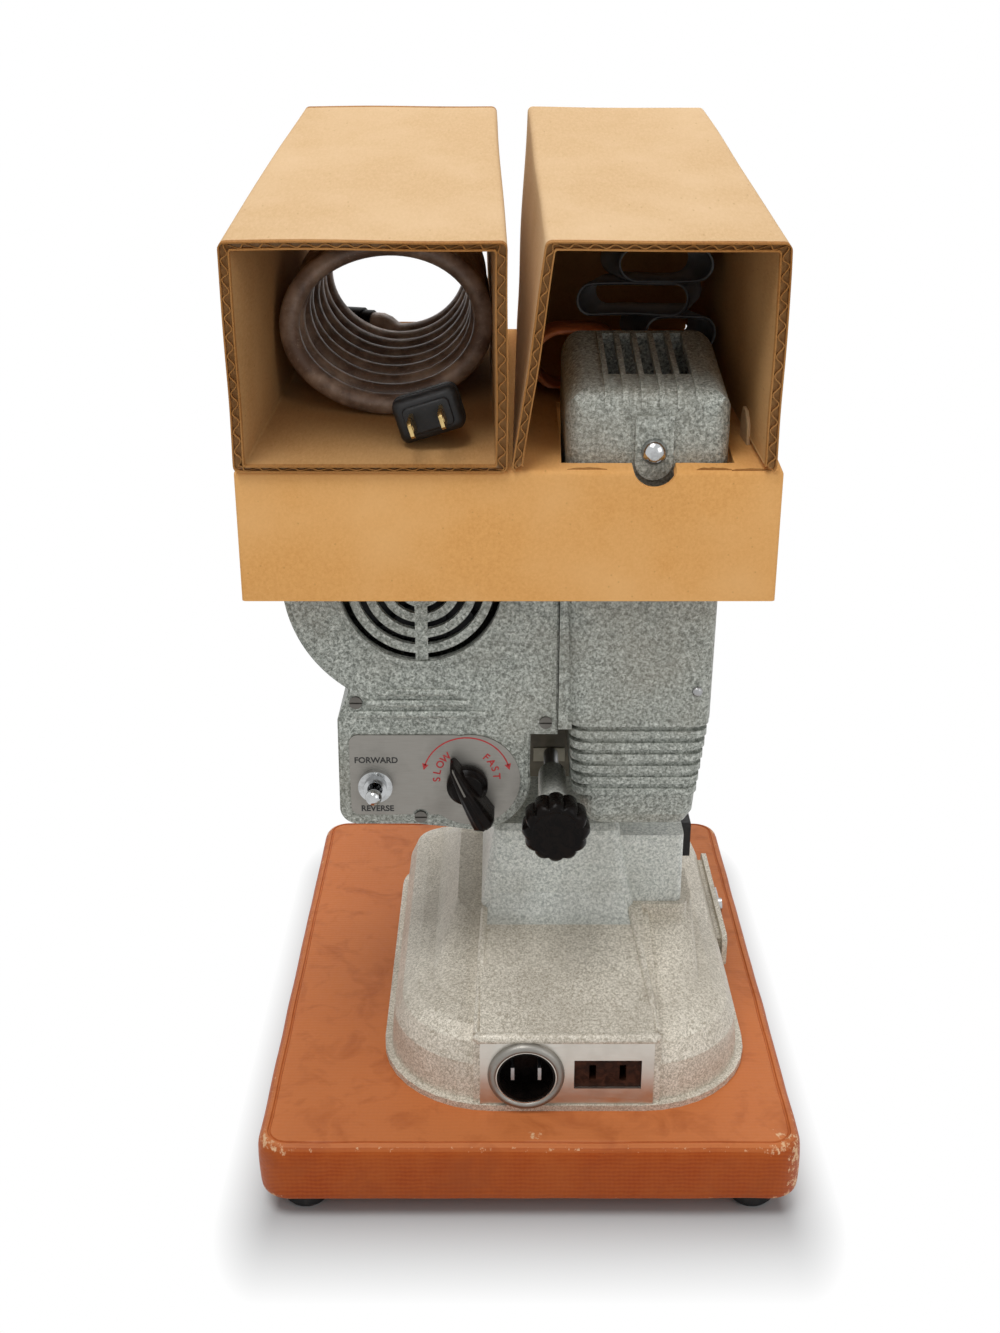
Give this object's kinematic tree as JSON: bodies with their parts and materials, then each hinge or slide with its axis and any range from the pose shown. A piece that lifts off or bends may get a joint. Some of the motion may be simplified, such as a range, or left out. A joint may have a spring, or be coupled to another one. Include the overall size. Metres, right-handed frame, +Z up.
{
  "type": "film projector",
  "caption": "Small tabletop film projector on a flat case base, with tilting head, motor cover, ribbed lamp house, folded reel arms and a lift-off cardboard insert holding its cord.",
  "frame": {"origin": "on the ground under the middle of the case base", "axes": "+Z up, +Y along the beam towards the screen, +X to the right as seen from behind the projector"},
  "size_m": [0.24, 0.304, 0.455],
  "materials": {
    "casting_enamel": "grey hammertone enamel",
    "pedestal_enamel": "blue-grey hammertone enamel",
    "leatherette": "orange-brown grained leatherette",
    "rubber": "black rubber",
    "steel": "satin steel",
    "silver_plate": "satin aluminium plate",
    "chrome": "bright chrome",
    "brass": "worn brass",
    "bakelite": "dark brown-black bakelite",
    "motor_iron": "dark motor iron",
    "black_paint": "matt black paint",
    "glass": "clear glass",
    "cardboard": "tan corrugated cardboard",
    "cord_rubber": "dark brown rubber cord",
    "strap_leather": "brown leather strap",
    "band_black": "black strapping band"
  },
  "bodies": {
    "base": {"case_base": "leatherette", "rubber_feet": "rubber", "base_bolts": "steel", "base_casting": "casting_enamel", "base_plate": "steel", "socket_plate": "silver_plate", "inlet_cup": "bakelite", "inlet_pins": "brass", "outlet_body": "bakelite", "side_cover": "casting_enamel", "pedestal": "pedestal_enamel", "hinge_pin": "steel"},
    "catch": {"side_cover_catch": "chrome"},
    "tilt_control": {"tilt_knob": "bakelite", "tilt_screw": "steel"},
    "head": {"drive_housing": "casting_enamel", "drive_cover": "casting_enamel", "motor_cover": "casting_enamel", "cover_screws": "chrome", "control_plate": "silver_plate", "toggle_bush": "chrome", "rheostat": "bakelite", "motor": "motor_iron", "drive_belt": "rubber", "film_claw": "steel", "lamp_house": "casting_enamel", "lamp_cap": "casting_enamel", "lamp_base": "brass", "lamp_bulb": "glass", "reflector": "chrome", "condenser": "glass", "aperture_plate": "chrome", "lens_holder": "casting_enamel", "arm_brackets": "casting_enamel"},
    "toggle": {"toggle_lever": "chrome"},
    "speed_control": {"speed_knob": "bakelite"},
    "rotor": {"motor_shaft": "steel", "fan": "silver_plate", "motor_pulley": "brass"},
    "shutter_shaft": {"main_shaft": "steel", "shutter": "black_paint"},
    "upper_drive": {"upper_sprocket": "chrome"},
    "lower_drive": {"lower_sprocket": "chrome"},
    "cap_fastener": {"cap_nut": "chrome"},
    "gate": {"pressure_plate": "chrome"},
    "lens": {"lens_barrel": "steel", "lens_glass": "glass"},
    "focus": {"focus_knob": "bakelite"},
    "supply_arm": {"supply_arm": "casting_enamel"},
    "supply_spindle": {"supply_spindle": "chrome"},
    "takeup_arm": {"takeup_arm": "casting_enamel"},
    "takeup_spindle": {"takeup_spindle": "chrome"},
    "insert": {"insert_tray": "cardboard", "left_tube": "cardboard", "right_tube": "cardboard", "supply_cord": "cord_rubber", "cord_plug": "rubber", "cord_connector": "bakelite", "black_band": "band_black", "carry_strap": "strap_leather"}
  },
  "joints": [
    {"name": "head_tilt", "type": "hinge", "parent": "base", "child": "head", "pos_m": [0.016, 0.02, 0.1475], "axis": [1, 0, 0], "range_deg": [0, 10]},
    {"name": "tilt_knob_turn", "type": "hinge", "parent": "base", "child": "tilt_control", "pos_m": [0.0115, -0.06, 0.164], "axis": [0, 1, 0], "range_deg": [0, 360]},
    {"name": "catch_turn", "type": "hinge", "parent": "base", "child": "catch", "pos_m": [0.1043, 0.026, 0.053], "axis": [1, 0, 0], "range_deg": [0, 90]},
    {"name": "toggle_flip", "type": "hinge", "parent": "head", "child": "toggle", "pos_m": [-0.0682, -0.076, 0.1772], "axis": [1, 0, 0], "range_deg": [-14, 14]},
    {"name": "speed_turn", "type": "hinge", "parent": "head", "child": "speed_control", "pos_m": [-0.0275, -0.076, 0.1776], "axis": [0, 1, 0], "range_deg": [0, 110]},
    {"name": "motor_spin", "type": "hinge", "parent": "head", "child": "rotor", "pos_m": [-0.0466, 0, 0.2708], "axis": [0, 1, 0], "continuous": true},
    {"name": "shutter_spin", "type": "hinge", "parent": "head", "child": "shutter_shaft", "pos_m": [-0.002, 0, 0.235], "axis": [0, 1, 0], "continuous": true},
    {"name": "upper_sprocket_spin", "type": "hinge", "parent": "head", "child": "upper_drive", "pos_m": [0.047, 0.038, 0.273], "axis": [1, 0, 0], "continuous": true},
    {"name": "lower_sprocket_spin", "type": "hinge", "parent": "head", "child": "lower_drive", "pos_m": [0.047, 0.038, 0.197], "axis": [1, 0, 0], "continuous": true},
    {"name": "cap_nut_turn", "type": "hinge", "parent": "head", "child": "cap_fastener", "pos_m": [0.0493, -0.082, 0.329], "axis": [0, 1, 0], "continuous": true},
    {"name": "gate_open", "type": "slide", "parent": "head", "child": "gate", "axis": [0, 1, 0], "range_m": [0, 0.004]},
    {"name": "lens_focus", "type": "slide", "parent": "head", "child": "lens", "axis": [0, 1, 0], "range_m": [-0.003, 0.007]},
    {"name": "focus_turn", "type": "hinge", "parent": "head", "child": "focus", "pos_m": [0.06, 0.058, 0.259], "axis": [1, 0, 0], "range_deg": [-30, 66]},
    {"name": "supply_arm_swing", "type": "hinge", "parent": "head", "child": "supply_arm", "pos_m": [0.0178, 0.113, 0.255], "axis": [-1, 0, 0], "range_deg": [0, 60]},
    {"name": "supply_spindle_spin", "type": "hinge", "parent": "supply_arm", "child": "supply_spindle", "pos_m": [0.0178, 0.113, 0.392], "axis": [1, 0, 0], "continuous": true},
    {"name": "takeup_arm_swing", "type": "hinge", "parent": "head", "child": "takeup_arm", "pos_m": [0.0178, 0.113, 0.185], "axis": [1, 0, 0], "range_deg": [0, 75]},
    {"name": "takeup_spindle_spin", "type": "hinge", "parent": "takeup_arm", "child": "takeup_spindle", "pos_m": [0.0178, 0.113, 0.067], "axis": [1, 0, 0], "continuous": true},
    {"name": "insert_lift", "type": "slide", "parent": "head", "child": "insert", "axis": [0, 0, 1], "range_m": [0, 0.12]}
  ],
  "couplings": [
    {"joint": "tilt_knob_turn", "follows": "head_tilt", "ratio": 36},
    {"joint": "shutter_spin", "follows": "motor_spin", "ratio": 0.5},
    {"joint": "upper_sprocket_spin", "follows": "motor_spin", "ratio": -0.015625},
    {"joint": "lower_sprocket_spin", "follows": "motor_spin", "ratio": 0.015625},
    {"joint": "focus_turn", "follows": "lens_focus", "rad_per_m": 160}
  ]
}
